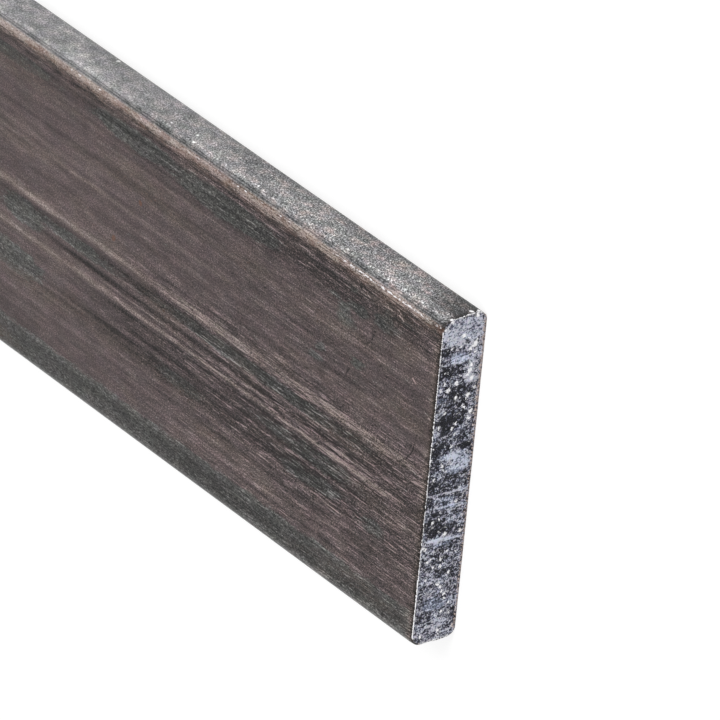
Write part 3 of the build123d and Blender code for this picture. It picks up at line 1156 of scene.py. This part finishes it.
class FLATBAR_OT_roll(bpy.types.Operator):
    """Rolls the bar, crops its ends and gives it its finish"""

    bl_idname = "flat_bar.roll"
    bl_label = "Rolled flat bar"

    def execute(self, context):
        scene = context.scene
        stock = steel_stock(scene.flat_bar_section)
        mesh = bpy.data.meshes.new("rolled_flat_bar")
        stock.to_mesh(mesh)
        stock.free()
        piece = bpy.data.objects.new("rolled_flat_bar", mesh)
        scene.collection.objects.link(piece)
        mesh.materials.append(MillSkin(scene.flat_bar_skin, scene.flat_bar_ends).made())
        mesh.materials.append(TornSteel(scene.flat_bar_ends).made())
        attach(piece, "root")
        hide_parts(BAR_NODE)
        return {"FINISHED"}


# Directions of the view in the frame: the bar's cropped end faces right, its back edge up
CAMERA_FORWARD = Vector((-0.6553, -0.4974, -0.5685))
CAMERA_UP = Vector((-0.4370, 0.8635, -0.2518))
FRAME_PIXELS = 720
END_PIXEL = (449.0, 480.1)  # where the middle of the cropped end lies, from the top left
SENSOR_MM = 36.0
CLIP_RANGE = (0.05, 50.0)  # metres
FLOOR_SIZE = 20.0  # metres
FLOOR_GLOW = 0.75  # what makes the lit floor near white where it is seen
# Place and width of each softbox, in metres
KEY_SOFTBOX = ((0.2, 0.9, 0.75), 0.9)
FILL_SOFTBOX = ((1.0, -0.2, 0.7), 0.7)


class FLATBAR_OT_studio(bpy.types.Operator):
    """Sets the floor, the soft lamps, the white surroundings and the camera"""

    bl_idname = "flat_bar.studio"
    bl_label = "Studio"

    def execute(self, context):
        scene = context.scene
        settings = scene.flat_bar_studio
        self.lay_floor(scene)
        self.hang_surroundings(scene, settings)
        self.place_softbox(scene, "key_softbox", *KEY_SOFTBOX, settings.key_power)
        self.place_softbox(scene, "fill_softbox", *FILL_SOFTBOX, settings.fill_power)
        self.place_camera(scene, settings)
        scene.view_settings.view_transform = "Standard"
        return {"FINISHED"}

    def seen_directly(self, node):
        """1 for what the camera sees, straight or mirrored in metal, and 0 for lighting."""
        path = node("LightPath").node.outputs
        rays = (path["Is " + kind + " Ray"] for kind in ("Camera", "Glossy", "Transmission"))
        return combined(node, "Math.MAXIMUM", *rays)

    def lay_floor(self, scene):
        sheet = bmesh.new()
        bmesh.ops.create_grid(sheet, x_segments=1, y_segments=1, size=FLOOR_SIZE)
        mesh = bpy.data.meshes.new("studio_floor")
        sheet.to_mesh(mesh)
        sheet.free()
        floor = bpy.data.objects.new("studio_floor", mesh)
        scene.collection.objects.link(floor)
        # Matt white paint has no gloss: it is pale and even, and keeps the bar's soft shadow
        material, node = new_material("matt_white_floor")
        glow = node("Math.MULTIPLY", [self.seen_directly(node), FLOOR_GLOW])
        lit = node("BsdfDiffuse", {"Color": linear("#9A9A9A")})
        white = node("Emission", {"Color": linear("#FFFFFF"), "Strength": glow})
        node("OutputMaterial", [node("AddShader", [lit, white])])
        mesh.materials.append(material)

    def hang_surroundings(self, scene, settings):
        world = bpy.data.worlds.new("white_studio")
        world.use_nodes = True
        world.node_tree.nodes.clear()
        node = functools.partial(add_node, world.node_tree)
        seen = self.seen_directly(node)
        strength = node("MapRange", [seen, 0.0, 1.0, settings.ambient, 1.0])
        sky = node("Background", {"Color": linear("#FFFFFF"), "Strength": strength})
        node("OutputWorld", [sky])
        scene.world = world

    def place_softbox(self, scene, name, place, size, power):
        lamp = bpy.data.lights.new(name, "AREA")
        lamp.shape = "SQUARE"
        lamp.size = size
        lamp.energy = power
        box = bpy.data.objects.new(name, lamp)
        box.location = place
        box.rotation_euler = (-Vector(place)).to_track_quat("-Z", "Y").to_euler()
        box.visible_camera = False
        scene.collection.objects.link(box)

    def place_camera(self, scene, settings):
        data = bpy.data.cameras.new("bar_camera")
        data.sensor_width = SENSOR_MM
        data.lens = settings.focal_mm
        data.clip_start, data.clip_end = CLIP_RANGE
        camera = bpy.data.objects.new("bar_camera", data)
        forward = CAMERA_FORWARD.normalized()
        right = forward.cross(CAMERA_UP).normalized()
        up = right.cross(forward)
        end_middle = Vector((BAR_HIGH.x, 0.0, (BAR_LOW.z + BAR_HIGH.z) / 2))
        metres_a_pixel = settings.distance * SENSOR_MM / (settings.focal_mm * FRAME_PIXELS)
        aside = (END_PIXEL[0] - FRAME_PIXELS / 2) * metres_a_pixel
        below = (END_PIXEL[1] - FRAME_PIXELS / 2) * metres_a_pixel
        place = end_middle - forward * settings.distance - right * aside + up * below
        turn = Matrix((right, up, -forward)).transposed().to_4x4()
        camera.matrix_world = Matrix.Translation(place) @ turn
        scene.collection.objects.link(camera)
        scene.camera = camera


class FLATBAR_PT_sidebar(bpy.types.Panel):
    """The operators of the flat bar"""

    bl_idname = "FLATBAR_PT_sidebar"
    bl_label = "Flat bar"
    bl_space_type = "VIEW_3D"
    bl_region_type = "UI"
    bl_category = "Flat bar"

    def draw(self, context):
        column = self.layout.column()
        column.operator(FLATBAR_OT_roll.bl_idname)
        column.operator(FLATBAR_OT_studio.bl_idname)


SETTINGS = {
    "flat_bar_section": RolledSectionSettings,
    "flat_bar_skin": MillSkinSettings,
    "flat_bar_ends": CroppedEndSettings,
    "flat_bar_studio": BarStudioSettings,
}
CLASSES = (*SETTINGS.values(), FLATBAR_OT_roll, FLATBAR_OT_studio, FLATBAR_PT_sidebar)


def register():
    for each in CLASSES:
        bpy.utils.register_class(each)
    for name, group in SETTINGS.items():
        setattr(bpy.types.Scene, name, PointerProperty(type=group))


def unregister():
    for name in SETTINGS:
        delattr(bpy.types.Scene, name)
    for each in reversed(CLASSES):
        bpy.utils.unregister_class(each)


def main():
    register()
    bpy.ops.flat_bar.roll()
    bpy.ops.flat_bar.studio()


if __name__ == "__main__":
    main()
